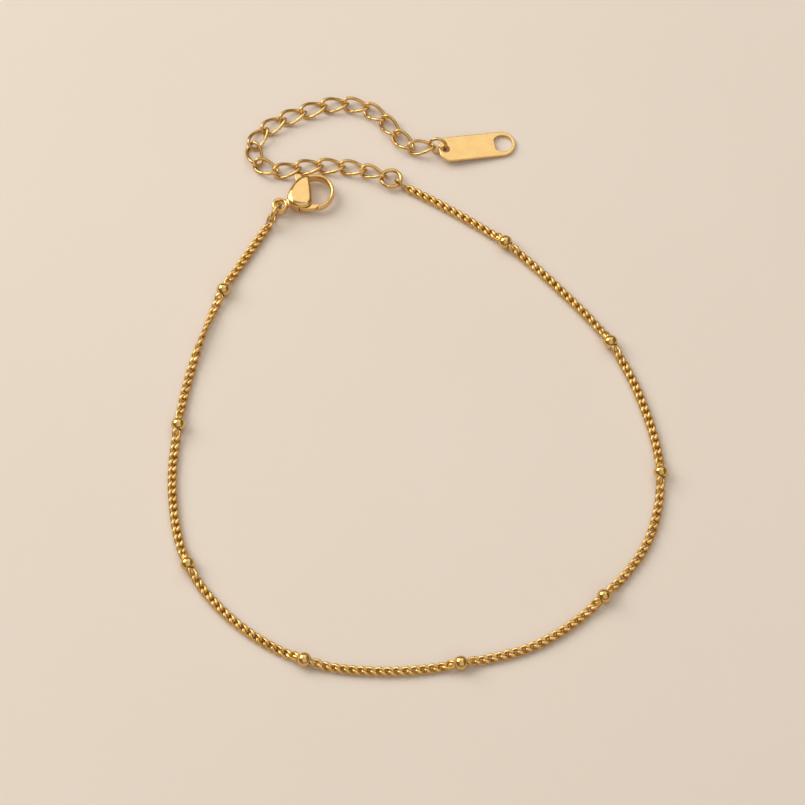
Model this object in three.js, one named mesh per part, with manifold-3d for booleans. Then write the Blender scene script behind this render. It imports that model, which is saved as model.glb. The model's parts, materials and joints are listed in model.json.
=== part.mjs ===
// Chain anklet with nine beads, a lobster clasp and an extender with an end tag.
// It lies on a surface at z = 0, in millimetres: +Y runs from the loop towards the extender, +Z is up.
import * as THREE from 'three';
import { mergeVertices } from 'three/addons/utils/BufferGeometryUtils.js';
import Module from 'manifold-3d';

const wasm = await Module();
wasm.setup();

// ---- driving dimensions ----

// The fine curb chain, as a flat oval tube; a slim neck enters each bead's bore.
const CHAIN = { width: 1.4, height: 1.06, sides: 8, step: 3.6, neckRadius: 0.3, neckReach: 0.5 };
const CHAIN_REST = CHAIN.height / 2 + 0.02; // height of the chain's middle where it lies
const DROOP = 3.2; // distance from a bead's middle in which the chain comes down to the surface

const BEAD = { radius: 1.05, halfLength: 0.84, bore: 0.5, facets: 12 };
const BEAD_GAP = 0.25; // between a bead's end and the chain's full section

// The end loop is the first link of the chain, threaded on a ring.
const END_LOOP = { halfLength: 1.0, halfWidth: 0.64, wire: 0.36, sides: 6, steps: 16 };
const CLASP_END = { roll: 0, height: 1.6 }; // how the loop in the clasp's ring is turned, and how high
const EXTENDER_END = { roll: Math.PI / 2, height: 1.22 };

const LINK = { pitch: 3.33, halfLength: 2.0, halfWidth: 1.16, wire: 0.43, sides: 6, steps: 18 };
const LINK_TWIST = THREE.MathUtils.degToRad(-50); // turn of each end bend about the link's length
const LINKS = 17;
const LINK_ROLLS = { 1: 18 }; // links that don't lie flat: degrees about their length

// The rings: standing is the turn from lying flat, in degrees, and heading is the way they point.
const CLASP_RING = { radius: 1.53, wire: 0.54, standing: 80, heading: -117.8, x: -21.05, y: 26.4, z: 1.79 };
const EXTENDER_RING = { radius: 1.46, wire: 0.56, standing: 0, heading: 0, x: -3.8, y: 32.8, z: 0.95 };
const TAG_RING = { radius: 1.25, wire: 0.46, standing: 70, heading: -12, x: 3.26, y: 38.34, z: 1.48 };
const RING_SIDES = 8;
const RING_STEPS = 20;

// The clasp lies flat. In its own frame the eye is at the origin and the hook lies along +X.
const CLASP = { x: -20.45, y: 27.65, heading: THREE.MathUtils.degToRad(25.5), thickness: 2.5 };
const EYE = { inner: 0.68, outer: 1.22, thickness: 1.3, round: 0.22, z: 1.4 };
const NECK = { thickness: 1.0, bevel: 0.1 };
const PAD_BEVEL = 0.55; // height of the sloping edges round the cheeks' flat faces
const HOOK = { x: 5.72, y: -0.05, radius: 2.68, sides: 8, steps: 14 };
const HOOK_ROOT = { degrees: 104, width: 0.74, height: 1.8 };
const HOOK_TIP = { degrees: -112, width: 0.6, height: 1.2 };
const PIVOT = { x: 3.7, y: 0.3, pin: 0.35, hole: 0.46 };
const SLOT = { bottom: 0.65, top: 1.85 };
const LEVER = { thickness: 0.9, reach: 3.25, inside: 2.26, bevel: 0.1 };
const TIP_GAP = 0.13; // between the lever's end and the hook's tip

const TAG = { length: 11.8, width: 4.25, thickness: 0.5, bevel: 0.08, corner: 1.7 };
const TAG_PLACE = { x: 9.2, y: 38.65 };
const TAG_HEADING = THREE.MathUtils.degToRad(9.6);
const TAG_TILT = THREE.MathUtils.degToRad(4.5);
const TAG_HOLE = { radius: 0.58, fromEnd: 1.05 };
const TAG_WINDOW = { radius: 1.5, fromEnd: 1.95, flat: 1.27 };

const MIDDLE = { x: 0.1, y: -0.21 }; // middle of the whole footprint, which is put at the origin

// The route of the chain, from the clasp's ring round the ankle to the extender's ring.
const ROUTE = [
  // x, y, bead
  [-21.3, 26.0, false],
  [-25.0, 19.8, false],
  [-28.5, 13.4, true],
  [-32.1, 3.0, false],
  [-34.4, -9.0, true],
  [-34.8, -20.3, false],
  [-32.3, -31.1, true],
  [-25.4, -39.9, false],
  [-15.7, -45.7, true],
  [-5.1, -47.3, false],
  [6.0, -46.2, true],
  [17.2, -43.0, false],
  [26.1, -36.1, true],
  [32.7, -27.2, false],
  [34.8, -16.7, true],
  [32.8, -5.8, false],
  [28.3, 4.6, true],
  [21.1, 13.7, false],
  [13.2, 21.6, true],
  [4.8, 27.6, false],
  [-3.15, 32.35, false],
];

// The route of the extender, from its ring to the tag's ring.
const EXTENDER_ROUTE = [
  // x, y, z
  [-4.8, 33.2, 1.0],
  [-8.5, 34.6, 0.76],
  [-13.6, 35.2, 0.76],
  [-18.6, 34.7, 0.76],
  [-22.2, 34.1, 0.76],
  [-24.6, 36.4, 0.76],
  [-24.75, 39.45, 0.76],
  [-21.8, 42.6, 0.76],
  [-16.8, 45.0, 0.76],
  [-12.0, 46.4, 0.76],
  [-7.4, 45.6, 0.76],
  [-4.3, 42.8, 0.76],
  [-2.75, 40.2, 0.88],
  [-0.78, 38.25, 0.91],
  [2.8, 38.4, 1.2],
];

// ---- materials ----

const goldPlate = new THREE.MeshStandardMaterial({ color: 0xd8a456, roughness: 0.2, metalness: 1.0 });

// ---- solids: from three.js geometry to a closed solid and back ----

function solidOf(geometry) {
  const bare = geometry.clone();
  bare.deleteAttribute('normal');
  bare.deleteAttribute('uv');
  const merged = mergeVertices(bare, 1e-4);
  return new wasm.Manifold(new wasm.Mesh({
    numProp: 3,
    vertProperties: merged.attributes.position.array,
    triVerts: new Uint32Array(merged.index.array),
  }));
}

function geometryOf(solid) {
  const mesh = solid.getMesh();
  const geometry = new THREE.BufferGeometry();
  geometry.setAttribute('position', new THREE.BufferAttribute(mesh.vertProperties, 3));
  geometry.setIndex(new THREE.BufferAttribute(mesh.triVerts, 1));
  geometry.computeVertexNormals();
  return geometry;
}

function joined(geometries) {
  return geometries.map(solidOf).reduce((whole, piece) => whole.add(piece));
}

// ---- shapes and sweeps ----

// A path that keeps its section level: the section's x is up and its y lies across the path.
class LevelPath extends THREE.CatmullRomCurve3 {
  computeFrenetFrames(segments) {
    const frames = { tangents: [], normals: [], binormals: [] };
    for (let i = 0; i <= segments; i++) {
      const tangent = this.getTangentAt(i / segments);
      const normal = new THREE.Vector3(0, 0, 1).projectOnPlane(tangent).normalize();
      frames.tangents.push(tangent);
      frames.normals.push(normal);
      frames.binormals.push(tangent.clone().cross(normal));
    }
    return frames;
  }
}

// An oval section: half its height along the shape's x, half its width along the shape's y.
function ovalSection(halfHeight, halfWidth, sides) {
  const shape = new THREE.Shape();
  for (let i = 0; i < sides; i++) {
    const angle = (2 * Math.PI * (i + 0.5)) / sides;
    const reach = 1 / Math.cos(Math.PI / sides); // flats, not corners, lie at the stated size
    const point = [halfHeight * reach * Math.cos(angle), halfWidth * reach * Math.sin(angle)];
    if (i === 0) shape.moveTo(...point);
    else shape.lineTo(...point);
  }
  shape.closePath();
  return shape;
}

function sweep(section, points, steps) {
  return new THREE.ExtrudeGeometry(section, { steps, extrudePath: new LevelPath(points) });
}

// A plate with its outline in the XY plane, from z = bottom upwards, its edges bevelled inwards.
function plate(shape, bottom, thickness, bevel, bevelHeight = bevel, bevelSegments = 1) {
  const geometry = new THREE.ExtrudeGeometry(shape, {
    depth: thickness - 2 * bevelHeight,
    bevelEnabled: bevel > 0,
    bevelThickness: bevelHeight,
    bevelSize: bevel,
    bevelOffset: -bevel,
    bevelSegments,
    curveSegments: 6,
  });
  return geometry.translate(0, 0, bottom + bevelHeight);
}

function polygon(points) {
  return new THREE.Shape(points.map(([x, y]) => new THREE.Vector2(x, y)));
}

// A closed loop of round wire along an ellipse, its ends turned about its length by the twist.
function wireLoop({ halfLength, halfWidth, wire, sides, steps }, twist = 0) {
  const a = halfLength;
  const b = halfWidth;
  const geometry = new THREE.TorusGeometry(1, wire / 2, sides, steps);
  const position = geometry.attributes.position;
  const vertex = new THREE.Vector3();
  const axis = new THREE.Vector3(1, 0, 0);
  for (let i = 0; i < position.count; i++) {
    vertex.fromBufferAttribute(position, i);
    const turn = Math.atan2(vertex.y, vertex.x);
    const outwards = new THREE.Vector3(Math.cos(turn) / a, Math.sin(turn) / b, 0).normalize();
    const proud = Math.hypot(vertex.x, vertex.y) - 1;
    const middle = new THREE.Vector3(a * Math.cos(turn), b * Math.sin(turn), vertex.z);
    vertex.copy(middle).addScaledVector(outwards, proud);
    vertex.applyAxisAngle(axis, (twist * vertex.x) / a);
    position.setXYZ(i, vertex.x, vertex.y, vertex.z);
  }
  return geometry;
}

// ---- the chain and its beads ----

const routeCurve = new THREE.CatmullRomCurve3(ROUTE.map(([x, y]) => new THREE.Vector3(x, y, 0)));
const STEPS_A_POINT = 60;
routeCurve.arcLengthDivisions = (ROUTE.length - 1) * STEPS_A_POINT;
const routeLengths = routeCurve.getLengths();
const routeLength = routeLengths[routeLengths.length - 1];
const beadAt = ROUTE.flatMap(([, , bead], i) => (bead ? [routeLengths[i * STEPS_A_POINT]] : []));

function routePoint(distance) {
  return routeCurve.getPointAt(THREE.MathUtils.clamp(distance / routeLength, 0, 1));
}

function routeHeading(distance) {
  const tangent = routeCurve.getTangentAt(THREE.MathUtils.clamp(distance / routeLength, 0, 1));
  return Math.atan2(tangent.y, tangent.x);
}

// The chain's middle is at a bead's middle where it meets one, and lies on the surface elsewhere.
function chainHeight(distance) {
  const away = Math.min(...beadAt.map((at) => Math.abs(distance - at)));
  const lift = 1 - THREE.MathUtils.smoothstep(away, BEAD.halfLength, DROOP);
  return CHAIN_REST + (BEAD.radius - CHAIN_REST) * lift;
}

function chainPoint(distance) {
  return routePoint(distance).setZ(chainHeight(distance));
}

// One end of a stretch is at a bead, where a neck enters the bore, or at a ring, where a loop is.
function stretchGeometry(start, end, startsAtBead, endsAtBead) {
  const clear = BEAD.halfLength + BEAD_GAP;
  const loopLength = 2 * END_LOOP.halfLength;
  const from = start + (startsAtBead ? clear : loopLength - END_LOOP.wire);
  const to = end - (endsAtBead ? clear : loopLength - END_LOOP.wire);
  const steps = Math.round((to - from) / CHAIN.step);
  const points = [];
  for (let i = 0; i <= 2 * steps; i++) {
    points.push(chainPoint(from + ((to - from) * i) / (2 * steps)));
  }
  const pieces = [sweep(ovalSection(CHAIN.height / 2, CHAIN.width / 2, CHAIN.sides), points, steps)];
  if (startsAtBead) pieces.push(neck(from, -1));
  if (endsAtBead) pieces.push(neck(to, 1));
  if (!startsAtBead) pieces.push(endLoop(from - END_LOOP.halfLength + END_LOOP.wire, CLASP_END, -1));
  if (!endsAtBead) pieces.push(endLoop(to + END_LOOP.halfLength - END_LOOP.wire, EXTENDER_END, 1));
  return geometryOf(joined(pieces));
}

function neck(distance, side) {
  const outer = distance + side * (BEAD_GAP + CHAIN.neckReach);
  const inner = distance - side * CHAIN.neckReach;
  const points = [inner, (inner + outer) / 2, outer].map(chainPoint);
  points[2].z = BEAD.radius;
  return sweep(ovalSection(CHAIN.neckRadius, CHAIN.neckRadius, CHAIN.sides), points, 2);
}

function endLoop(distance, { roll, height }, side) {
  const middle = routePoint(distance);
  const rise = (height - CHAIN_REST) / 2;
  const geometry = wireLoop(END_LOOP);
  geometry.rotateX(roll);
  geometry.rotateY((-side * rise) / END_LOOP.halfLength);
  geometry.rotateZ(routeHeading(distance));
  return geometry.translate(middle.x, middle.y, CHAIN_REST + rise);
}

// A round bead, drilled from end to end, its bore along Z.
function beadGeometry() {
  const rim = BEAD.bore + 0.1;
  const topAngle = Math.acos(rim / BEAD.radius);
  const profile = [new THREE.Vector2(BEAD.bore, -BEAD.halfLength)];
  const rows = 6;
  for (let i = 0; i <= rows; i++) {
    const angle = topAngle * ((2 * i) / rows - 1);
    const height = (BEAD.halfLength * Math.sin(angle)) / Math.sin(topAngle);
    profile.push(new THREE.Vector2(BEAD.radius * Math.cos(angle), height));
  }
  profile.push(new THREE.Vector2(BEAD.bore, BEAD.halfLength));
  profile.push(profile[0].clone());
  return new THREE.LatheGeometry(profile, BEAD.facets).rotateX(Math.PI / 2);
}

// ---- the extender ----

const extenderCurve = new THREE.CatmullRomCurve3(
  EXTENDER_ROUTE.map(([x, y, z]) => new THREE.Vector3(x, y, z)),
);

// The links hinge on each other at points along the route, a pitch apart in a straight line.
function extenderJoints() {
  const fine = extenderCurve.getSpacedPoints(2000);
  const joints = [fine[0]];
  for (const point of fine) {
    if (joints.length > LINKS) break;
    if (point.distanceTo(joints[joints.length - 1]) >= LINK.pitch) joints.push(point);
  }
  return joints;
}

// ---- the clasp ----

// Points along an arc of a circle, from one angle to the other.
function arcPoints(centreX, centreY, radius, fromDegrees, toDegrees, parts) {
  const points = [];
  for (let i = 0; i <= parts; i++) {
    const angle = THREE.MathUtils.degToRad(fromDegrees + ((toDegrees - fromDegrees) * i) / parts);
    points.push([centreX + radius * Math.cos(angle), centreY + radius * Math.sin(angle)]);
  }
  return points;
}

// A solid through rings of points, each with as many points, anticlockwise about the way they go.
function loft(rings) {
  const count = rings[0].length;
  const ends = [rings[0], rings[rings.length - 1]];
  const middles = ends.map((ring) => [0, 1, 2].map((k) => ring.reduce((sum, p) => sum + p[k], 0) / count));
  const triangles = [];
  const first = rings.length * count;
  for (let k = 0; k < count; k++) {
    const next = (k + 1) % count;
    for (let i = 0; i + 1 < rings.length; i++) {
      const here = i * count;
      const there = here + count;
      triangles.push(here + k, here + next, there + next, here + k, there + next, there + k);
    }
    triangles.push(first, next, k);
    triangles.push(first + 1, first - count + k, first - count + next);
  }
  const geometry = new THREE.BufferGeometry();
  const points = new Float32Array([...rings, middles].flat(2));
  geometry.setAttribute('position', new THREE.BufferAttribute(points, 3));
  geometry.setIndex(triangles);
  return geometry;
}

function eyeGeometry() {
  const half = EYE.thickness / 2;
  const { inner, outer, round } = EYE;
  const outline = [
    [inner, -half + round],
    [inner + round, -half],
    [outer - round, -half],
    [outer, -half + round],
    [outer, half - round],
    [outer - round, half],
    [inner + round, half],
    [inner, half - round],
    [inner, -half + round],
  ];
  const profile = outline.map(([x, y]) => new THREE.Vector2(x, y));
  return new THREE.LatheGeometry(profile, 18).rotateX(Math.PI / 2).translate(0, 0, EYE.z);
}

// The two cheeks with what joins them, before the slot is cut: a fan from the neck to the hook's root.
const CHEEKS = [
  // x and y of the outline, x and y of the flat face
  [1.45, 0.55, 2.1, 0.4],
  [1.4, -0.4, 2.15, -0.15],
  [1.65, -1.0, 2.25, -0.5],
  [2.05, -1.45, 2.5, -0.9],
  [2.55, -1.82, 2.85, -1.25],
  [3.15, -2.08, 3.35, -1.48],
  [3.77, -2.1, 3.75, -1.5],
  [4.35, -1.87, 4.1, -1.3],
  [4.68, -1.45, 4.45, -0.8],
  [5.85, 2.1, 5.6, 1.95],
  [5.9, 2.75, 5.68, 2.25],
  [5.25, 2.92, 5.05, 2.38],
  [4.6, 2.93, 4.4, 2.27],
  [4.05, 2.77, 3.95, 2.1],
  [3.5, 2.47, 3.55, 1.9],
  [2.9, 2.05, 3.0, 1.5],
  [2.35, 1.6, 2.55, 1.15],
  [1.85, 1.13, 2.2, 0.75],
];

function cheekGeometry() {
  const outline = (z) => CHEEKS.map(([x, y]) => [x, y, z]);
  const face = (z) => CHEEKS.map(([, , x, y]) => [x, y, z]);
  const top = CLASP.thickness;
  return loft([face(0), outline(PAD_BEVEL), outline(top - PAD_BEVEL), face(top)]);
}

function neckGeometry() {
  const bar = polygon([[0.9, -0.55], [1.6, -0.75], [2.1, -0.7], [2.1, 0.7], [1.6, 0.65], [0.9, 0.5]]);
  return plate(bar, EYE.z - NECK.thickness / 2, NECK.thickness, NECK.bevel);
}

// The hook narrows from its root to its tip.
function hookSolid() {
  const rings = [];
  for (let i = 0; i <= HOOK.steps; i++) {
    const at = (from, to) => from + ((to - from) * i) / HOOK.steps;
    const turn = THREE.MathUtils.degToRad(at(HOOK_ROOT.degrees, HOOK_TIP.degrees));
    const section = ovalSection(
      at(HOOK_ROOT.width, HOOK_TIP.width) / 2,
      at(HOOK_ROOT.height, HOOK_TIP.height) / 2,
      HOOK.sides,
    );
    rings.push(section.getPoints().slice(0, HOOK.sides).map((point) => {
      const radius = HOOK.radius + point.x;
      const x = HOOK.x + radius * Math.cos(turn);
      return [x, HOOK.y + radius * Math.sin(turn), CLASP.thickness / 2 + point.y];
    }));
  }
  const reach = LEVER.reach + TIP_GAP;
  const leverSweep = polygon([[PIVOT.x, PIVOT.y], ...arcPoints(PIVOT.x, PIVOT.y, reach, -130, -10, 16)]);
  return solidOf(loft(rings)).subtract(solidOf(plate(leverSweep, -1, CLASP.thickness + 2, 0, 0)));
}

// The slot leaves room for the lever from closed to fully open.
function slotSolid() {
  const outline = polygon([
    [2.3, 3.6],
    [2.3, 0.2],
    [2.22, -0.6],
    [2.18, -1.2],
    [2.4, -1.78],
    [2.86, -2.1],
    [2.86, -2.6],
    [6.6, -2.6],
    [6.0, 0.2],
    [4.85, 0.75],
    [5.3, 2.4],
    [5.75, 3.6],
  ]);
  return solidOf(plate(outline, SLOT.bottom, SLOT.top - SLOT.bottom, 0, 0));
}

function claspBodyGeometry() {
  const pin = new THREE.CylinderGeometry(PIVOT.pin, PIVOT.pin, SLOT.top - SLOT.bottom + 0.4, 10);
  pin.rotateX(Math.PI / 2).translate(PIVOT.x, PIVOT.y, CLASP.thickness / 2);
  const casting = joined([cheekGeometry(), neckGeometry(), eyeGeometry()]).add(hookSolid());
  return geometryOf(casting.subtract(slotSolid()).add(solidOf(pin)));
}

// The lever's gate closes the hook along its circle, and its thumb tab stands out on the other side.
function claspLeverGeometry() {
  const shape = polygon([
    [2.44, 0.38],
    [2.36, -0.5],
    [2.3, -1.2],
    [2.5, -1.7],
    [3.1, -2.1],
    [3.8, -2.5],
    [4.3, -2.7],
    ...arcPoints(PIVOT.x, PIVOT.y, LEVER.reach, -72, -57, 3),
    ...arcPoints(HOOK.x, HOOK.y, LEVER.inside, -102, -128, 3),
    [4.25, -1.2],
    [4.5, -0.3],
    [4.65, 0.4],
    [4.6, 1.2],
    [4.9, 2.5],
    [5.1, 3.1],
    [5.0, 3.75],
    [4.33, 3.98],
    [3.85, 2.6],
    [3.2, 1.5],
    [2.6, 0.9],
  ]);
  const hole = new THREE.Path();
  hole.absarc(PIVOT.x, PIVOT.y, PIVOT.hole, 0, 2 * Math.PI, true);
  shape.holes.push(hole);
  const bottom = CLASP.thickness / 2 - LEVER.thickness / 2;
  return plate(shape, bottom, LEVER.thickness, LEVER.bevel);
}

// ---- the tag ----

// A flat strip along X with a round end at +X, its middle at the origin.
function tagGeometry() {
  const half = TAG.width / 2;
  const left = -TAG.length / 2;
  const right = TAG.length / 2;
  const { corner } = TAG;
  const shape = new THREE.Shape();
  shape.moveTo(left + corner, -half);
  shape.lineTo(right - half, -half);
  shape.absarc(right - half, 0, half, -Math.PI / 2, Math.PI / 2, false);
  shape.lineTo(left + corner, half);
  shape.absarc(left + corner, half - corner, corner, Math.PI / 2, Math.PI, false);
  shape.absarc(left + corner, -half + corner, corner, Math.PI, 1.5 * Math.PI, false);
  shape.closePath();
  const hole = new THREE.Path();
  hole.absarc(left + TAG_HOLE.fromEnd, 0, TAG_HOLE.radius, 0, 2 * Math.PI, true);
  const window = new THREE.Path();
  const windowX = right - TAG_WINDOW.fromEnd;
  const flatAngle = Math.acos(-TAG_WINDOW.flat / TAG_WINDOW.radius);
  window.absarc(windowX, 0, TAG_WINDOW.radius, flatAngle, -flatAngle, true);
  window.closePath();
  shape.holes.push(hole, window);
  return plate(shape, 0, TAG.thickness, TAG.bevel);
}

// ---- the assembly ----

const anklet = new THREE.Group();
anklet.position.set(-MIDDLE.x, -MIDDLE.y, 0);

function add(name, geometry, parent = anklet) {
  const mesh = new THREE.Mesh(geometry, goldPlate);
  mesh.name = name;
  parent.add(mesh);
  return mesh;
}

const stretchEnds = [0, ...beadAt, routeLength];
for (let i = 0; i + 1 < stretchEnds.length; i++) {
  const startsAtBead = i > 0;
  const endsAtBead = i + 2 < stretchEnds.length;
  add(`chain_${i + 1}`, stretchGeometry(stretchEnds[i], stretchEnds[i + 1], startsAtBead, endsAtBead));
}

beadAt.forEach((distance, i) => {
  const bead = add(`bead_${i + 1}`, beadGeometry());
  bead.position.copy(routePoint(distance).setZ(BEAD.radius));
  bead.rotation.set(Math.PI / 2, 0, routeHeading(distance) + Math.PI / 2, 'ZXY');
});

const joints = extenderJoints();
for (let i = 0; i < LINKS; i++) {
  const link = add(`extender_link_${i + 1}`, wireLoop(LINK, LINK_TWIST));
  const along = joints[i + 1].clone().sub(joints[i]);
  const roll = THREE.MathUtils.degToRad(LINK_ROLLS[i + 1] ?? 0);
  const slope = Math.atan2(-along.z, Math.hypot(along.x, along.y));
  link.position.copy(joints[i]).addScaledVector(along, 0.5);
  link.rotation.set(roll, slope, Math.atan2(along.y, along.x), 'ZYX');
}

function addRing(name, { radius, wire, standing, heading, x, y, z }) {
  const ring = add(name, new THREE.TorusGeometry(radius, wire / 2, RING_SIDES, RING_STEPS));
  ring.position.set(x, y, z);
  ring.rotation.set(THREE.MathUtils.degToRad(standing), 0, THREE.MathUtils.degToRad(heading), 'ZXY');
}

addRing('clasp_ring', CLASP_RING);
addRing('extender_ring', EXTENDER_RING);
addRing('tag_ring', TAG_RING);

const clasp = new THREE.Group();
clasp.position.set(CLASP.x, CLASP.y, 0);
clasp.rotation.z = CLASP.heading;
anklet.add(clasp);
add('clasp_body', claspBodyGeometry(), clasp);
add('clasp_lever', claspLeverGeometry(), clasp);

const tag = add('tag', tagGeometry());
const tagRise = (TAG.length / 2) * Math.sin(TAG_TILT);
tag.position.set(TAG_PLACE.x, TAG_PLACE.y, tagRise);
tag.rotation.set(0, TAG_TILT, TAG_HEADING, 'ZYX');

export default anklet;
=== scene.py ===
"""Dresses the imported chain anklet: curb links, beads, extender, rings, clasp and tag in gold tone."""

import json
import math

import bmesh
import bpy
import numpy as np
from mathutils import Matrix, Vector


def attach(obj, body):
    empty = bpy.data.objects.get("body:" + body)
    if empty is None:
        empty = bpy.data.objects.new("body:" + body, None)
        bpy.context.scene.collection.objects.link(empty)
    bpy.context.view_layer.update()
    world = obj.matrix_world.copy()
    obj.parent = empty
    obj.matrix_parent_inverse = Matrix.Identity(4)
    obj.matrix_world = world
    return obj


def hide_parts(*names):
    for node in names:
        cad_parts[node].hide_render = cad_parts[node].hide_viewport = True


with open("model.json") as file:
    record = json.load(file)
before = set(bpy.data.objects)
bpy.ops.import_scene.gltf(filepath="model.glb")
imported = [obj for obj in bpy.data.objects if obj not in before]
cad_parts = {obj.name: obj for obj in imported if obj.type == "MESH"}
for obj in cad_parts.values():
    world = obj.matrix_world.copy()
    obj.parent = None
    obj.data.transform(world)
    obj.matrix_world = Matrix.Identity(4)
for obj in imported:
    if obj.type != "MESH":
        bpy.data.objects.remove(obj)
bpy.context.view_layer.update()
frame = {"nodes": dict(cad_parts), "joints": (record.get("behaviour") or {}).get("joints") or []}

MM = 0.001  # the shapes below are worked out in millimetres, and made in metres

# ---- camera ----

LOOK_AT = Vector((-2.2, -4.675, 0.0))
CAMERA_DISTANCE = 435.0
CAMERA_ELEVATION = math.radians(62)
VIEW_ANGLE = math.radians(15.28)


def add_camera():
    data = bpy.data.cameras.new("camera")
    data.angle = VIEW_ANGLE
    data.clip_start = 0.01
    camera = bpy.data.objects.new("camera", data)
    back = Vector((0, -math.cos(CAMERA_ELEVATION), math.sin(CAMERA_ELEVATION)))
    camera.location = (LOOK_AT + CAMERA_DISTANCE * back) * MM
    camera.rotation_euler = (math.pi / 2 - CAMERA_ELEVATION, 0, 0)
    bpy.context.scene.collection.objects.link(camera)
    bpy.context.scene.camera = camera


add_camera()

# ---- the chain's route and the beads as in the part's source, and the sizes of its real links ----

MIDDLE = (0.1, -0.21)  # middle of the whole footprint, which is the origin
ROUTE = [
    # x, y, bead
    (-21.3, 26.0, False),
    (-25.0, 19.8, False),
    (-28.5, 13.4, True),
    (-32.1, 3.0, False),
    (-34.4, -9.0, True),
    (-34.8, -20.3, False),
    (-32.3, -31.1, True),
    (-25.4, -39.9, False),
    (-15.7, -45.7, True),
    (-5.1, -47.3, False),
    (6.0, -46.2, True),
    (17.2, -43.0, False),
    (26.1, -36.1, True),
    (32.7, -27.2, False),
    (34.8, -16.7, True),
    (32.8, -5.8, False),
    (28.3, 4.6, True),
    (21.1, 13.7, False),
    (13.2, 21.6, True),
    (4.8, 27.6, False),
    (-3.15, 32.35, False),
]

CHAIN_REST = 0.55  # height of the chain's middle where it lies
DROOP = 3.2  # distance from a bead's middle in which the chain comes down to the surface
BEAD_RADIUS = 1.05
BEAD_HALF_LENGTH = 0.84
BEAD_BORE = 0.5

BEAD_RIM = 0.07  # width of the eased rim round a bead's hole

# The curb wire is as thick as the photograph shows it. At this pitch neighbouring links cross a little.
# Half lengths and widths run to the middle of the wire. A roundness of 2 is an ellipse, and more is fuller.
CURB = {"half_length": 0.89, "half_width": 0.47, "wire": 0.49, "twist": math.radians(60), "roundness": 2.2}
CURB_PITCH = 1.21
CURB_FLAT = 0.41  # half the height left between the flats that are ground on a curb link
CURB_DOME = 0.12  # share that is left of what stood past a flat, which keeps it slightly domed
END_LINK = {"half_length": 1.0, "half_width": 0.62, "wire": 0.38, "twist": math.radians(25), "roundness": 2.4}
END_LINK_PLACES = {
    # roll about its length, height of its outer end
    "clasp": (0.0, 1.6),
    "extender": (math.pi / 2, 1.22),
}
BEAD_PIN = {"start": 0.12, "end": 1.76, "radius": 0.22, "flatness": 1.4}
BEAD_PIN_MIDDLE = 1.2  # where along it the pin's direction is taken

# Distances along the route to the middle of the next link
BEAD_TO_LINK = 1.66
RING_TO_END_LINK = 1.0
LINK_SLACK = 0.12  # how much nearer the first curb link lies than it would if pulled tight
RING_TO_LINK = (
    RING_TO_END_LINK
    + END_LINK["half_length"]
    - (END_LINK["wire"] + CURB["wire"]) / 2
    + CURB["half_length"]
    - LINK_SLACK
)

OPEN_LINK = {
    "half_length": 2.0,
    "half_width": 1.08,
    "wire": 0.52,
    "twist": math.radians(-46),
    "roundness": 2.7,
}
OPEN_LINKS = 17

LINK_SEAM = 0.5 * math.pi  # where a link's wire is cut, as an angle round it
SEAM_GAP = 0.018  # half the gap between the ends of a cut wire
SEAM_CHAMFER = 0.82  # share of the wire's radius that is left at a cut end

# ---- meshes ----


def unit(vectors):
    return vectors / np.linalg.norm(vectors, axis=-1, keepdims=True)


def tube(path, outward, radii, sides, closed):
    """Points and faces of a wire along a path. outward points away from the middle of its loop."""
    if closed:
        along = unit(np.roll(path, -1, axis=0) - np.roll(path, 1, axis=0))
    else:
        along = unit(np.gradient(path, axis=0))
    across = unit(outward - (outward * along).sum(1, keepdims=True) * along)
    up = np.cross(along, across)
    angle = 2 * math.pi * (np.arange(sides) + 0.5) / sides
    ring = np.cos(angle)[None, :, None] * across[:, None] + np.sin(angle)[None, :, None] * up[:, None]
    points = (path[:, None] + np.asarray(radii)[:, None, None] * ring).reshape(-1, 3)
    steps = len(path)
    faces = []
    for i in range(steps if closed else steps - 1):
        here, there = i * sides, (i + 1) % steps * sides
        for k in range(sides):
            after = (k + 1) % sides
            faces.append((here + k, here + after, there + after, there + k))
    if not closed:
        last = (steps - 1) * sides
        faces.append(tuple(range(sides - 1, -1, -1)))
        faces.append(tuple(range(last, last + sides)))
    return points, faces


def oval_link(half_length, half_width, wire, twist, roundness, steps, sides, seam=None):
    """A closed link along X, its two ends turned about X by the twist. seam is where its wire is cut."""
    closed = seam is None
    radii = np.full(steps, wire / 2)
    if closed:
        turn = np.linspace(0, 2 * math.pi, steps, endpoint=False)
    else:
        cut = SEAM_GAP / (half_length + half_width)
        turn = seam + np.linspace(cut, 2 * math.pi - cut, steps)
        radii[[0, -1]] *= SEAM_CHAMFER
    power = 2 / roundness
    cos, sin = np.cos(turn), np.sin(turn)
    x = half_length * np.sign(cos) * np.abs(cos) ** power
    y = half_width * np.sign(sin) * np.abs(sin) ** power
    lean = twist * x / half_length
    path = np.stack([x, y * np.cos(lean), y * np.sin(lean)], axis=1)
    out_x = cos / half_length
    out_y = sin / half_width
    outward = unit(np.stack([out_x, out_y * np.cos(lean), out_y * np.sin(lean)], axis=1))
    return tube(path, outward, radii, sides, closed)


def jump_ring(radius, wire, steps, sides, seam):
    turn = seam + np.linspace(SEAM_GAP / radius, 2 * math.pi - SEAM_GAP / radius, steps)
    outward = np.stack([np.cos(turn), np.sin(turn), np.zeros(steps)], axis=1)
    radii = np.full(steps, wire / 2)
    radii[[0, -1]] *= SEAM_CHAMFER
    return tube(radius * outward, outward, radii, sides, closed=False)


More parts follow.
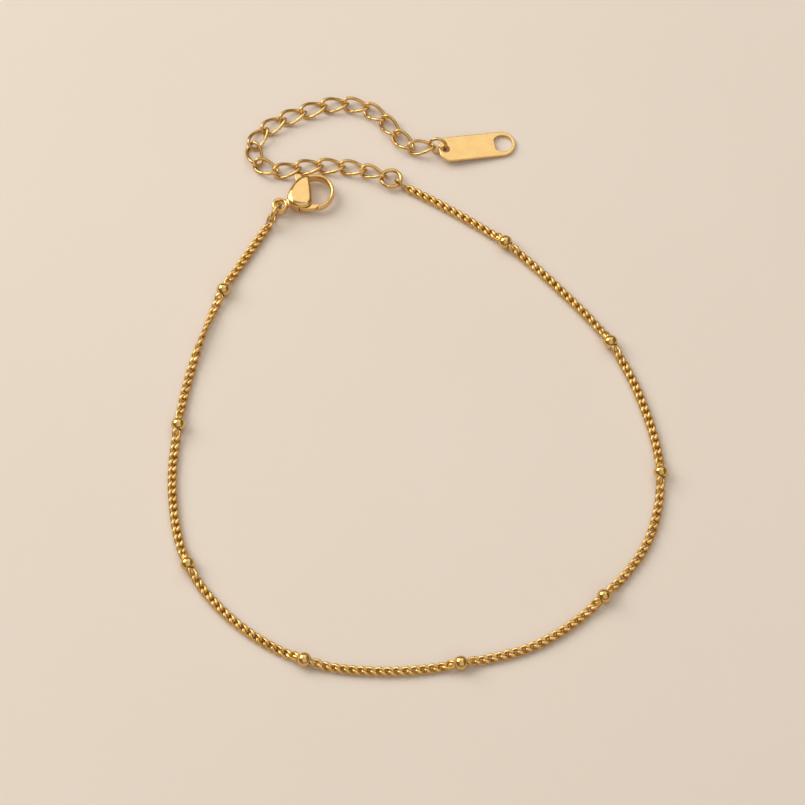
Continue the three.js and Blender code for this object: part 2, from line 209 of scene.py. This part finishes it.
def lathe(profile, steps):
    """A ring-like solid about X from a closed profile of (radius, height along X)."""
    turn = np.linspace(0, 2 * math.pi, steps, endpoint=False)
    radius, height = np.array(profile).T
    points = np.stack(
        [
            np.broadcast_to(height, (steps, len(profile))),
            radius * np.cos(turn)[:, None],
            radius * np.sin(turn)[:, None],
        ],
        axis=2,
    ).reshape(-1, 3)
    rows = len(profile)
    faces = []
    for i in range(steps):
        here, there = i * rows, (i + 1) % steps * rows
        for k in range(rows):
            after = (k + 1) % rows
            faces.append((here + k, here + after, there + after, there + k))
    return points, faces


def placed(points, axes, centre):
    """Points of a shape's own frame, given by its three axes as rows, put in the row frame."""
    return points @ np.asarray(axes) + np.asarray(centre)


def joined(parts):
    """One list of points and faces from several."""
    points, faces, used = [], [], 0
    for part_points, part_faces in parts:
        points.append(part_points)
        faces.extend(tuple(used + i for i in face) for face in part_faces)
        used += len(part_points)
    return np.vstack(points), faces


def add_mesh(name, points, faces, sharp_angle=math.radians(50)):
    """A mesh object from points in millimetres, shaded smooth except at sharp edges."""
    mesh = bpy.data.meshes.new(name)
    mesh.from_pydata((points * MM).tolist(), [], faces)
    mesh.update()
    bm = bmesh.new()
    bm.from_mesh(mesh)
    bmesh.ops.recalc_face_normals(bm, faces=bm.faces)
    bm.to_mesh(mesh)
    bm.free()
    mesh.shade_smooth()
    mesh.set_sharp_from_angle(angle=sharp_angle)
    piece = bpy.data.objects.new(name, mesh)
    bpy.context.scene.collection.objects.link(piece)
    return piece


def dress(piece, body, slot, *nodes):
    """Gives a piece its body, its material and the CAD nodes that it stands for."""
    piece.data.materials.clear()
    piece.data.materials.append(METALS[slot])
    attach(piece, body)
    if nodes:
        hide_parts(*nodes)


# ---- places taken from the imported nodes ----


def node_points(node):
    data = frame["nodes"][node].data
    flat = np.empty(len(data.vertices) * 3)
    data.vertices.foreach_get("co", flat)
    return flat.reshape(-1, 3) / MM


def own_frame(node):
    """Middle of a symmetric node and its axes as rows: the longest, the next and the thinnest."""
    points = node_points(node)
    middle = (points.min(axis=0) + points.max(axis=0)) / 2
    centred = points - points.mean(axis=0)
    axes = np.linalg.eigh(centred.T @ centred)[1].T[::-1]
    if axes[2][2] < 0:
        axes[2] *= -1
    axes[1] = np.cross(axes[2], axes[0])
    reach = (points - middle) @ axes.T
    middle = middle + (reach.min(axis=0) + reach.max(axis=0)) / 2 @ axes
    return middle, axes


# ---- gold ----

# A bright and a deep colour, mixed in soft patches. GOLD is for the clasp and the tag. The pair for the fine
# chain and its beads and the pair for the extender's links and the rings are darker copies of the same gold:
# painted shade, standing in for the darker reflections that these wires and beads show.
GOLD = ((0.87, 0.59, 0.25, 1), (0.80, 0.50, 0.17, 1))
SHADED_WIRE_GOLD = ((0.78, 0.51, 0.19, 1), (0.67, 0.41, 0.11, 1))
SHADED_LINK_GOLD = ((0.79, 0.53, 0.21, 1), (0.65, 0.41, 0.13, 1))

# Noise textures: features a millimetre and detail
PATCHES = (0.7, 3.0)
SCRATCHES = (1.6, 6.0)
DENTS = (3.2, 4.0)
PATCH_RANGE = (0.35, 0.65)  # noise values between which the deep colour comes in
SCRATCH_RANGE = (0.42, 0.72)  # noise values between which the polish wears
SCRATCH_TURN = (0.2, 0.3, 0.5)
SCRATCH_STRETCH = (1.0, 14.0, 5.0)  # makes the scratches long in one direction
DENT_DEPTH = 0.03 * MM


def noise(nodes, scale, detail):
    texture = nodes.new("ShaderNodeTexNoise")
    texture.inputs["Scale"].default_value = scale
    texture.inputs["Detail"].default_value = detail
    return texture


def colour_mix(nodes, first, second):
    mix = nodes.new("ShaderNodeMix")
    mix.data_type = "RGBA"
    mix.inputs["A"].default_value = first
    mix.inputs["B"].default_value = second
    return mix


def map_range(nodes, noise_range, low, high):
    """Turns the values of a noise texture between the two given into low to high."""
    node = nodes.new("ShaderNodeMapRange")
    node.inputs["From Min"].default_value, node.inputs["From Max"].default_value = noise_range
    node.inputs["To Min"].default_value = low
    node.inputs["To Max"].default_value = high
    return node


def link_nodes(material, *pairs):
    for (source, output), (target, entry) in pairs:
        material.node_tree.links.new(source.outputs[output], target.inputs[entry])


def gold(name, roughness, patch, scratch, dent, colours=GOLD):
    """Polished gold plate. patch, scratch and dent say how strong its colour, wear and bumps are."""
    material = bpy.data.materials.new(name)
    material.use_nodes = True
    nodes = material.node_tree.nodes
    shader = nodes["Principled BSDF"]
    shader.inputs["Metallic"].default_value = 1.0
    shader.inputs["Specular IOR Level"].default_value = 0.5
    place = nodes.new("ShaderNodeTexCoord")

    clouds = noise(nodes, PATCHES[0] / MM, PATCHES[1])
    tint = colour_mix(nodes, *colours)
    spread = map_range(nodes, PATCH_RANGE, 0.0, patch)

    lines = nodes.new("ShaderNodeMapping")
    lines.inputs["Rotation"].default_value = SCRATCH_TURN
    lines.inputs["Scale"].default_value = SCRATCH_STRETCH
    scratches = noise(nodes, SCRATCHES[0] / MM, SCRATCHES[1])
    wear = map_range(nodes, SCRATCH_RANGE, roughness, roughness + scratch)

    grain = noise(nodes, DENTS[0] / MM, DENTS[1])
    bump = nodes.new("ShaderNodeBump")
    bump.inputs["Strength"].default_value = dent
    bump.inputs["Distance"].default_value = DENT_DEPTH

    link_nodes(
        material,
        ((place, "Object"), (clouds, "Vector")),
        ((clouds, "Fac"), (spread, "Value")),
        ((spread, "Result"), (tint, "Factor")),
        ((tint, "Result"), (shader, "Base Color")),
        ((place, "Object"), (lines, "Vector")),
        ((lines, "Vector"), (scratches, "Vector")),
        ((scratches, "Fac"), (wear, "Value")),
        ((wear, "Result"), (shader, "Roughness")),
        ((place, "Object"), (grain, "Vector")),
        ((grain, "Fac"), (bump, "Height")),
        ((bump, "Normal"), (shader, "Normal")),
    )
    return material


METALS = {
    # The chain, the beads, the links and the rings take the darker golds, which paint shade into their
    # colour.
    "chain_metal": gold("chain_gold", roughness=0.25, patch=0.9, scratch=0.14, dent=0.2, colours=SHADED_WIRE_GOLD),
    "bead_metal": gold("bead_gold", roughness=0.13, patch=0.8, scratch=0.10, dent=0.3, colours=SHADED_WIRE_GOLD),
    "link_metal": gold("link_gold", roughness=0.19, patch=0.9, scratch=0.12, dent=0.25, colours=SHADED_LINK_GOLD),
    "clasp_metal": gold("clasp_gold", roughness=0.14, patch=0.5, scratch=0.10, dent=0.12),
    "tag_metal": gold("tag_gold", roughness=0.18, patch=0.5, scratch=0.14, dent=0.08),
}

# ---- the fine chain ----

SPAN_STEPS = 60
ON_EDGE = math.radians(80)  # roll where the chain stands on edge, between the first two beads
EDGE_MIDDLE = 0.36  # where that is, as a share of the way from one bead to the other
EDGE_SPREAD = 0.17  # how far it spreads, as a share of the way
SLOW_ROLL = math.radians(5)
ROLL_WAVES = (5.3, 3.1)  # lengths of the two slow waves in the roll
ROLL_OFFSET = 2  # how far the second wave runs ahead
ROLL_SWAY = math.radians(4)  # spread of each link's own roll
SWAY_SEED = 7
CHAIN_LIFT = 0.13  # clears the surface for links that sway
FRAME_REACH = 0.3  # distance to each side over which the chain's direction is taken


def smooth_route(points, steps):
    """Points along the centripetal Catmull-Rom curve through the given points."""
    given = np.asarray(points, float)
    given = np.vstack([2 * given[0] - given[1], given, 2 * given[-1] - given[-2]])
    gaps = np.sqrt(np.linalg.norm(np.diff(given, axis=0), axis=1))
    share = np.linspace(0, 1, steps, endpoint=False)[:, None]
    spans = []
    for i in range(len(given) - 3):
        before, start, end, after = given[i:i + 4]
        gap_before, gap, gap_after = gaps[i:i + 3]
        speed = (start - before) / gap_before - (end - before) / (gap_before + gap) + (end - start) / gap
        speed = speed * gap
        end_speed = (end - start) / gap - (after - start) / (gap + gap_after) + (after - end) / gap_after
        end_speed = end_speed * gap
        bend = 3 * (end - start) - 2 * speed - end_speed
        ease = 2 * (start - end) + speed + end_speed
        spans.append(start + speed * share + bend * share**2 + ease * share**3)
    return np.vstack([*spans, given[-2]])


route = smooth_route([(x - MIDDLE[0], y - MIDDLE[1]) for x, y, _ in ROUTE], SPAN_STEPS)
route_distance = np.concatenate([[0], np.cumsum(np.linalg.norm(np.diff(route, axis=0), axis=1))])
route_length = route_distance[-1]
bead_distances = [route_distance[i * SPAN_STEPS] for i, (_, _, bead) in enumerate(ROUTE) if bead]


def edge_roll(distance):
    """The roll of the chain about its length: it stands on edge part of the way between two beads."""
    share = (distance - bead_distances[0]) / (bead_distances[1] - bead_distances[0])
    wave = math.sin(distance / ROLL_WAVES[0]) + math.sin(distance / ROLL_WAVES[1] + ROLL_OFFSET)
    return ON_EDGE * math.exp(-(((share - EDGE_MIDDLE) / EDGE_SPREAD) ** 2)) + SLOW_ROLL * wave


def chain_height(distance):
    """The chain's middle is at a bead's middle where it meets one, and lies on the surface elsewhere."""
    roll = edge_roll(distance)
    half_width = CURB["half_width"] + CURB["wire"] / 2
    half_height = math.hypot(half_width * math.sin(roll), CURB_FLAT * math.cos(roll))
    rest = max(CHAIN_REST, half_height + CHAIN_LIFT)
    away = min(abs(distance - at) for at in bead_distances)
    share = min(max((away - BEAD_HALF_LENGTH) / (DROOP - BEAD_HALF_LENGTH), 0), 1)
    lift = 1 - share * share * (3 - 2 * share)
    return rest + (BEAD_RADIUS - rest) * lift


def chain_point(distance):
    x = np.interp(distance, route_distance, route[:, 0])
    y = np.interp(distance, route_distance, route[:, 1])
    return np.array([x, y, chain_height(distance)])


def chain_frame(distance, roll=0.0):
    """Place on the chain and its axes as rows: along the chain, across it and up, turned by the roll."""
    along = unit(chain_point(distance + FRAME_REACH) - chain_point(distance - FRAME_REACH))
    across = unit(np.cross([0, 0, 1], along))
    up = np.cross(along, across)
    turned = math.cos(roll) * across + math.sin(roll) * up
    return chain_point(distance), np.array([along, turned, np.cross(along, turned)])


def ground_flat(points, half_height):
    """Presses what stands past the half height back to it, as grinding a curb link does."""
    pressed = points.copy()
    proud = np.abs(points[:, 2]) - half_height
    high = proud > 0
    pressed[high, 2] = np.sign(points[high, 2]) * (half_height + CURB_DOME * proud[high])
    return pressed


def end_link(distance, side, place):
    """The plain link at an end of the chain, which rises to its ring."""
    roll, height = END_LINK_PLACES[place]
    roll -= side * END_LINK["twist"]
    points, faces = oval_link(**END_LINK, steps=48, sides=14, seam=LINK_SEAM)
    rise = (height - CHAIN_REST) / 2
    slope = side * rise / END_LINK["half_length"]
    flat_place, axes = chain_frame(distance)
    along = np.array([*unit(axes[0][:2]) * math.cos(slope), math.sin(slope)])
    across = unit(np.cross([0, 0, 1], along))
    up = np.cross(along, across)
    turned = math.cos(roll) * across + math.sin(roll) * up
    middle = [*flat_place[:2], CHAIN_REST + rise]
    return placed(points, [along, turned, np.cross(along, turned)], middle), faces


def curb_links(start, end, sway):
    """Curb links from the middle of the first to the middle of the last."""
    points, faces = oval_link(**CURB, steps=36, sides=14)
    points = ground_flat(points, CURB_FLAT)
    count = round((end - start) / CURB_PITCH)
    links = []
    for i in range(count + 1):
        distance = start + (end - start) * i / count
        middle, axes = chain_frame(distance, roll=edge_roll(distance) + sway.normal(0, ROLL_SWAY))
        links.append((placed(points, axes, middle), faces))
    return links


def bead_pin(distance, side):
    """The pin from inside a bead's bore into the next link, which is soldered to it."""
    turn = np.radians([0, 30, 55, 75, 88])
    radius = BEAD_PIN["radius"]
    reach = np.concatenate([[BEAD_PIN["start"]], BEAD_PIN["end"] - radius + radius * np.sin(turn)])
    radii = np.concatenate([[radius], radius * np.cos(turn)])
    path = np.zeros((len(reach), 3))
    path[:, 0] = reach - BEAD_PIN_MIDDLE
    points, faces = tube(path, np.tile([0.0, 1.0, 0.0], (len(reach), 1)), radii, 16, closed=False)
    points[:, 1] *= BEAD_PIN["flatness"]
    middle, axes = chain_frame(distance + side * BEAD_PIN_MIDDLE)
    return placed(points * [side, 1, 1], axes, middle), faces


def add_chain():
    sway = np.random.default_rng(SWAY_SEED)
    stops = [0, *bead_distances, route_length]
    for i, (start, end) in enumerate(zip(stops, stops[1:])):
        from_ring, to_ring = i == 0, i == len(stops) - 2
        first = start + (RING_TO_LINK if from_ring else BEAD_TO_LINK)
        last = end - (RING_TO_LINK if to_ring else BEAD_TO_LINK)
        links = curb_links(first, last, sway)
        if from_ring:
            links.append(end_link(RING_TO_END_LINK, -1, "clasp"))
        if to_ring:
            links.append(end_link(route_length - RING_TO_END_LINK, 1, "extender"))
        if not from_ring:
            links.append(bead_pin(start, 1))
        if not to_ring:
            links.append(bead_pin(end, -1))
        dress(add_mesh(f"curb_links_{i + 1}", *joined(links)), "anklet", "chain_metal", f"chain_{i + 1}")


def add_beads():
    """Round beads, each with a drilled hole whose rim is eased."""
    rim = BEAD_BORE + BEAD_RIM
    face = math.acos(rim / BEAD_RADIUS)
    profile = [(BEAD_BORE, -BEAD_HALF_LENGTH + BEAD_RIM)]
    for angle in np.linspace(-face, face, 25):
        height = BEAD_HALF_LENGTH * math.sin(angle) / math.sin(face)
        profile.append((BEAD_RADIUS * math.cos(angle), height))
    profile.append((BEAD_BORE, BEAD_HALF_LENGTH - BEAD_RIM))
    points, faces = lathe(profile, 56)
    for i, distance in enumerate(bead_distances):
        middle, axes = chain_frame(distance)
        bead = add_mesh(f"round_bead_{i + 1}", placed(points, axes, middle), faces)
        dress(bead, "anklet", "bead_metal", f"bead_{i + 1}")


add_chain()
add_beads()

# ---- the extender and the rings ----


def add_open_links():
    points, faces = oval_link(**OPEN_LINK, steps=72, sides=18, seam=LINK_SEAM)
    for i in range(1, OPEN_LINKS + 1):
        middle, axes = own_frame(f"extender_link_{i}")
        link = add_mesh(f"open_link_{i}", placed(points, axes, middle), faces)
        dress(link, "anklet", "link_metal", f"extender_link_{i}")


RINGS = {
    # node: radius, wire, where its wire is cut
    "clasp_ring": (1.53, 0.54, 2.6),
    "extender_ring": (1.46, 0.62, 1.2),
    "tag_ring": (1.25, 0.5, 2.0),
}


def add_rings():
    for node, (radius, wire, seam) in RINGS.items():
        middle, axes = own_frame(node)
        points, faces = jump_ring(radius, wire, steps=96, sides=22, seam=seam)
        ring = add_mesh(f"jump_{node}", placed(points, axes, middle), faces)
        dress(ring, "anklet", "link_metal", node)


add_open_links()
add_rings()

# ---- castings: closed shapes joined, cut and softened ----


def arc(centre, radius, start, end, parts):
    angles = np.radians(np.linspace(start, end, parts + 1))
    return [(centre[0] + radius * math.cos(a), centre[1] + radius * math.sin(a)) for a in angles]


def temporary(bm):
    mesh = bpy.data.meshes.new("temporary")
    bm.to_mesh(mesh)
    bm.free()
    solid = bpy.data.objects.new("temporary", mesh)
    bpy.context.scene.collection.objects.link(solid)
    return solid


def plate(outline, bottom, top, bevel=0.0, segments=3):
    """An upright plate with the outline at its widest, its top and bottom edges bevelled."""
    bm = bmesh.new()
    face = bm.faces.new([bm.verts.new((x, y, bottom)) for x, y in outline])
    raised = bmesh.ops.extrude_face_region(bm, geom=[face])["geom"]
    lifted = [v for v in raised if isinstance(v, bmesh.types.BMVert)]
    bmesh.ops.translate(bm, verts=lifted, vec=(0, 0, top - bottom))
    bmesh.ops.recalc_face_normals(bm, faces=bm.faces)
    if bevel:
        level = [e for e in bm.edges if abs(e.verts[0].co.z - e.verts[1].co.z) < 1e-6]
        bmesh.ops.bevel(
            bm, geom=level, offset=bevel, offset_type="OFFSET", segments=segments, profile=0.5, affect="EDGES"
        )
    return temporary(bm)


def solid_from(points, faces):
    bm = bmesh.new()
    made = [bm.verts.new(p) for p in points]
    for face in faces:
        bm.faces.new([made[i] for i in face])
    bmesh.ops.recalc_face_normals(bm, faces=bm.faces)
    return temporary(bm)


def join_and_cut(body, added, cuts):
    for operation, tools in (("UNION", added), ("DIFFERENCE", cuts)):
        for tool in tools:
            modifier = body.modifiers.new("join", "BOOLEAN")
            modifier.operation = operation
            modifier.solver = "EXACT"
            modifier.object = tool


def mesh_with_modifiers(solid):
    return bpy.data.meshes.new_from_object(solid.evaluated_get(bpy.context.evaluated_depsgraph_get()))


def applied(solid, added, cuts):
    """A solid with others joined to it and cuts taken out."""
    join_and_cut(solid, added, cuts)
    mesh = mesh_with_modifiers(solid)
    for used in (solid, *added, *cuts):
        bpy.data.objects.remove(used)
    made = bpy.data.objects.new("temporary", mesh)
    bpy.context.scene.collection.objects.link(made)
    return made


def casting(name, solids, cuts, voxel, softness, placing):
    """One piece from several solids and cuts, remeshed finely and softened, and put in its place."""
    body, *others = solids
    join_and_cut(body, others, cuts)
    remesh = body.modifiers.new("remesh", "REMESH")
    remesh.mode = "VOXEL"
    remesh.voxel_size = voxel
    remesh.use_smooth_shade = True
    soften = body.modifiers.new("soften", "SMOOTH")
    soften.iterations = softness
    mesh = mesh_with_modifiers(body)
    for solid in (*solids, *cuts):
        data = solid.data
        bpy.data.objects.remove(solid)
        bpy.data.meshes.remove(data)
    mesh.name = name
    mesh.transform(Matrix.Scale(MM, 4) @ placing)
    mesh.shade_smooth()
    piece = bpy.data.objects.new(name, mesh)
    bpy.context.scene.collection.objects.link(piece)
    return piece


# ---- the clasp, in its own frame: the eye is at the origin and the hook lies along +X ----

CLASP_THICKNESS = 2.5
CLASP_HEADING = math.radians(25.5)
EYE = {"inner": 0.68, "outer": 1.22, "thickness": 1.3, "z": 1.4}
NECK_THICKNESS = 1.0
NECK_BEVEL = 0.2
PAD_BEVEL = 0.55  # height of the rounded shoulders round the cheeks' flat faces
SHOULDER_START = 22  # slope of a shoulder where it leaves the flat face, in degrees
HOOK = {"x": 5.72, "y": -0.05, "radius": 2.68}
HOOK_ROOT = {"degrees": 104, "width": 0.74, "height": 1.8}
HOOK_TIP = {"degrees": -112, "width": 0.6, "height": 1.2}
PIVOT = (3.7, 0.3)
PIN_RADIUS = 0.35
PIN_HOLE = 0.46
PIN_SUNK = 0.2  # how far each end of the pin reaches into a cheek
SLOT = (0.65, 1.85)  # heights of its bottom and top
LEVER = {"thickness": 0.9, "reach": 3.25, "inside": 2.26}
TIP_GAP = 0.13  # between the lever's end and the hook's tip
EYE_SQUARENESS = 0.7  # 1 is a round section, and less is squarer
HOOK_SQUARENESS = 0.8
CHEEKS = [
    # x and y of the outline, x and y of the flat face
    (1.45, 0.55, 2.1, 0.4),
    (1.4, -0.4, 2.15, -0.15),
    (1.65, -1.0, 2.25, -0.5),
    (2.05, -1.45, 2.5, -0.9),
    (2.55, -1.82, 2.85, -1.25),
    (3.15, -2.08, 3.35, -1.48),
    (3.77, -2.1, 3.75, -1.5),
    (4.35, -1.87, 4.05, -1.25),
    (4.68, -1.45, 4.34, -0.72),
    (5.85, 2.1, 5.44, 1.9),
    (5.9, 2.75, 5.5, 2.22),
    (5.25, 2.92, 5.0, 2.36),
    (4.6, 2.93, 4.4, 2.27),
    (4.05, 2.77, 3.95, 2.1),
    (3.5, 2.47, 3.55, 1.9),
    (2.9, 2.05, 3.0, 1.5),
    (2.35, 1.6, 2.55, 1.15),
    (1.85, 1.13, 2.2, 0.75),
]


def clasp_placing():
    """The clasp's own frame in the row frame, found from the lever's hinge."""
    hinge = Vector(frame["joints"][0]["pos_m"]) / MM
    turn = Matrix.Rotation(CLASP_HEADING, 4, "Z")
    eye = hinge - (turn @ Vector((*PIVOT, 0)))
    return Matrix.Translation((eye.x, eye.y, 0)) @ turn


def smooth_ring(points, steps):
    """Points along the closed curve through the given points."""
    whole = smooth_route([*points[-2:], *points, *points[:2]], steps)
    return whole[2 * steps:(len(points) + 2) * steps]


def cheeks():
    """The two cheeks with what joins them: a fan from the neck to the hook's root with rounded shoulders."""
    rows = smooth_ring(CHEEKS, 6)
    outline, face = rows[:, :2], rows[:, 2:]
    count = len(rows)
    turn = np.radians(np.linspace(SHOULDER_START, 90, 6))
    spread = (np.sin(turn) - math.sin(turn[0])) / (1 - math.sin(turn[0]))
    drop = PAD_BEVEL * (1 - np.cos(turn) / math.cos(turn[0]))
    lower = [(face + (outline - face) * share, depth) for share, depth in zip(spread, drop)]
    levels = lower + [(ring, CLASP_THICKNESS - depth) for ring, depth in reversed(lower)]
    points = np.vstack([np.column_stack([ring, np.full(count, z)]) for ring, z in levels])
    last = (len(levels) - 1) * count
    faces = [tuple(range(count)), tuple(range(last, last + count))]
    for here in range(0, last, count):
        for k in range(count):
            after = (k + 1) % count
            faces.append((here + k, here + after, here + count + after, here + count + k))
    return solid_from(points, faces)


def neck():
    outline = [(0.9, -0.55), (1.6, -0.75), (2.1, -0.7), (2.1, 0.7), (1.6, 0.65), (0.9, 0.5)]
    half = NECK_THICKNESS / 2
    return plate(outline, EYE["z"] - half, EYE["z"] + half, bevel=NECK_BEVEL)


def eye():
    """The round eye, as a thick ring of rounded section."""
    middle_radius = (EYE["inner"] + EYE["outer"]) / 2
    half_width = (EYE["outer"] - EYE["inner"]) / 2
    profile = []
    for angle in np.linspace(0, 2 * math.pi, 20, endpoint=False):
        cos, sin = math.cos(angle), math.sin(angle)
        radius = middle_radius + half_width * math.copysign(abs(cos) ** EYE_SQUARENESS, cos)
        profile.append((radius, EYE["thickness"] / 2 * math.copysign(abs(sin) ** EYE_SQUARENESS, sin)))
    points, faces = lathe(profile, 64)
    points = points[:, [1, 2, 0]] + [0, 0, EYE["z"]]
    return solid_from(points, faces)


def hook():
    """The round of the hook, which narrows from its root to its tip, with a rounded oblong section."""
    steps, sides = 60, 24
    share = np.linspace(0, 1, steps)

    def taper(size):
        return HOOK_ROOT[size] + (HOOK_TIP[size] - HOOK_ROOT[size]) * share

    turn = np.radians(taper("degrees"))
    outward = np.stack([np.cos(turn), np.sin(turn), np.zeros(steps)], axis=1)
    path = outward * HOOK["radius"] + [HOOK["x"], HOOK["y"], CLASP_THICKNESS / 2]
    points, faces = tube(path, outward, np.ones(steps), sides, closed=False)
    middles, outwards = np.repeat(path, sides, axis=0), np.repeat(outward, sides, axis=0)
    offset = points - middles
    side = (offset * outwards).sum(axis=1)
    side = np.sign(side) * np.abs(side) ** HOOK_SQUARENESS * np.repeat(taper("width") / 2, sides)
    height = np.sign(offset[:, 2]) * np.abs(offset[:, 2]) ** HOOK_SQUARENESS
    height = height * np.repeat(taper("height") / 2, sides)
    points = middles + side[:, None] * outwards
    points[:, 2] += height
    return solid_from(points, faces)


def lever_room():
    """What the lever's end sweeps through, which is left out of the hook."""
    sweep = [PIVOT, *arc(PIVOT, LEVER["reach"] + TIP_GAP, -130, -10, 30)]
    return plate(sweep, -1, CLASP_THICKNESS + 1)


def lever_slot():
    """The slot between the cheeks, with room for the lever from closed to fully open."""
    outline = [
        (2.3, 3.6),
        (2.3, 0.2),
        (2.22, -0.6),
        (2.18, -1.2),
        (2.4, -1.78),
        (2.86, -2.1),
        (2.86, -2.6),
        (6.6, -2.6),
        (6.0, 0.2),
        (4.85, 0.75),
        (5.3, 2.4),
        (5.75, 3.6),
    ]
    return plate(outline, *SLOT)


def disc(radius, bottom, top):
    return plate(arc(PIVOT, radius, 0, 348, 29), bottom, top)


def lever_shape():
    """The lever's gate closes the hook along its circle, and its thumb tab stands out opposite."""
    outline = [
        (2.44, 0.38),
        (2.36, -0.5),
        (2.3, -1.2),
        (2.5, -1.7),
        (3.1, -2.1),
        (3.8, -2.5),
        (4.3, -2.7),
        *arc(PIVOT, LEVER["reach"], -72, -57, 6),
        *arc((HOOK["x"], HOOK["y"]), LEVER["inside"], -102, -128, 8),
        (4.25, -1.2),
        (4.5, -0.3),
        (4.65, 0.4),
        (4.6, 1.2),
        (4.9, 2.5),
        (5.1, 3.1),
        (5.0, 3.75),
        (4.33, 3.98),
        (3.85, 2.6),
        (3.2, 1.5),
        (2.6, 0.9),
    ]
    middle = CLASP_THICKNESS / 2
    return plate(outline, middle - LEVER["thickness"] / 2, middle + LEVER["thickness"] / 2)


def add_clasp():
    placing = clasp_placing()
    pin = disc(PIN_RADIUS, SLOT[0] - PIN_SUNK, SLOT[1] + PIN_SUNK)
    shell = casting_core()
    body = casting("clasp_casting", [shell, pin], [], voxel=0.05, softness=5, placing=placing)
    dress(body, "anklet", "clasp_metal", "clasp_body")
    hole = disc(PIN_HOLE, 0, CLASP_THICKNESS)
    lever = casting("clasp_gate", [lever_shape()], [hole], voxel=0.04, softness=3, placing=placing)
    dress(lever, "lever", "clasp_metal", "clasp_lever")


def casting_core():
    """The clasp's casting before its pin is put in."""
    shaped_hook = applied(hook(), [], [lever_room()])
    return applied(cheeks(), [neck(), eye(), shaped_hook], [lever_slot()])


add_clasp()

# ---- the tag, in its own frame: a flat strip along X with a round end at +X ----

TAG = {"length": 11.8, "width": 4.25, "thickness": 0.5, "corner": 1.7, "bevel": 0.12}
TAG_HOLE = {"radius": 0.58, "from_end": 1.05}
TAG_WINDOW = {"radius": 1.5, "from_end": 1.95, "flat": 1.27}


def tag_placing():
    """The tag's own frame in the row frame: its hole's end is the one near its ring."""
    middle, axes = own_frame("tag")
    ring = own_frame("tag_ring")[0]
    if (ring - middle) @ axes[0] > 0:
        axes[0] *= -1
        axes[1] *= -1
    placing = Matrix(axes.T.tolist()).to_4x4()
    placing.translation = middle
    return placing


def add_tag():
    half, left, right = TAG["width"] / 2, -TAG["length"] / 2, TAG["length"] / 2
    corner = TAG["corner"]
    outline = [
        *arc((right - half, 0), half, -90, 90, 40),
        *arc((left + corner, half - corner), corner, 90, 180, 16),
        *arc((left + corner, corner - half), corner, 180, 270, 16),
    ]
    thick = TAG["thickness"] / 2
    hole_x = left + TAG_HOLE["from_end"]
    window_x = right - TAG_WINDOW["from_end"]
    flat = math.degrees(math.acos(-TAG_WINDOW["flat"] / TAG_WINDOW["radius"]))
    hole = plate(arc((hole_x, 0), TAG_HOLE["radius"], 0, 352.5, 47), -1, 1)
    window = plate(arc((window_x, 0), TAG_WINDOW["radius"], -flat, flat, 48), -1, 1)
    strip = plate(outline, -thick, thick, bevel=TAG["bevel"])
    tag = casting("end_tag", [strip], [hole, window], voxel=0.05, softness=3, placing=tag_placing())
    dress(tag, "anklet", "tag_metal", "tag")


add_tag()

# ---- floor, light and colour ----


FLOOR_HALF_SIZE = 1.2  # metres
PAPER = {"colours": ((0.81, 0.72, 0.625, 1), (0.84, 0.75, 0.655, 1)), "roughness": 0.85}
FIBRES = (25.0, 5.0)  # features a metre and detail
SKY = {"colour": (1.0, 0.88, 0.74, 1), "strength": 0.23}


def add_floor():
    size = FLOOR_HALF_SIZE
    mesh = bpy.data.meshes.new("floor")
    corners = [(-size, -size, 0), (size, -size, 0), (size, size, 0), (-size, size, 0)]
    mesh.from_pydata(corners, [], [(0, 1, 2, 3)])
    floor = bpy.data.objects.new("floor", mesh)
    bpy.context.scene.collection.objects.link(floor)
    material = bpy.data.materials.new("pale_paper")
    material.use_nodes = True
    nodes = material.node_tree.nodes
    shader = nodes["Principled BSDF"]
    shader.inputs["Roughness"].default_value = PAPER["roughness"]
    place = nodes.new("ShaderNodeTexCoord")
    fibres = noise(nodes, *FIBRES)
    tint = colour_mix(nodes, *PAPER["colours"])
    link_nodes(
        material,
        ((place, "Object"), (fibres, "Vector")),
        ((fibres, "Fac"), (tint, "Factor")),
        ((tint, "Result"), (shader, "Base Color")),
    )
    mesh.materials.append(material)


LAMPS = {
    # name: position in metres, size in metres, watts, colour
    "key": ((-0.60, 0.35, 0.56), 0.68, 5.4, (1.0, 0.975, 0.94)),
    "panel": ((0.12, 0.42, 0.76), 0.85, 2.1, (1.0, 0.99, 0.98)),
    "front": ((0.15, -0.50, 0.72), 1.20, 2.5, (1.0, 0.96, 0.92)),
}


def add_lamps():
    for name, (position, size, watts, colour) in LAMPS.items():
        data = bpy.data.lights.new(name, "AREA")
        data.shape = "SQUARE"
        data.size = size
        data.energy = watts
        data.color = colour
        lamp = bpy.data.objects.new(name, data)
        lamp.location = position
        lamp.rotation_euler = (-Vector(position)).to_track_quat("-Z", "Y").to_euler()
        bpy.context.scene.collection.objects.link(lamp)


def add_world():
    world = bpy.data.worlds.new("studio")
    world.use_nodes = True
    sky = world.node_tree.nodes["Background"]
    sky.inputs["Color"].default_value = SKY["colour"]
    sky.inputs["Strength"].default_value = SKY["strength"]
    bpy.context.scene.world = world


add_floor()
add_lamps()
add_world()
bpy.context.scene.view_settings.view_transform = "Standard"
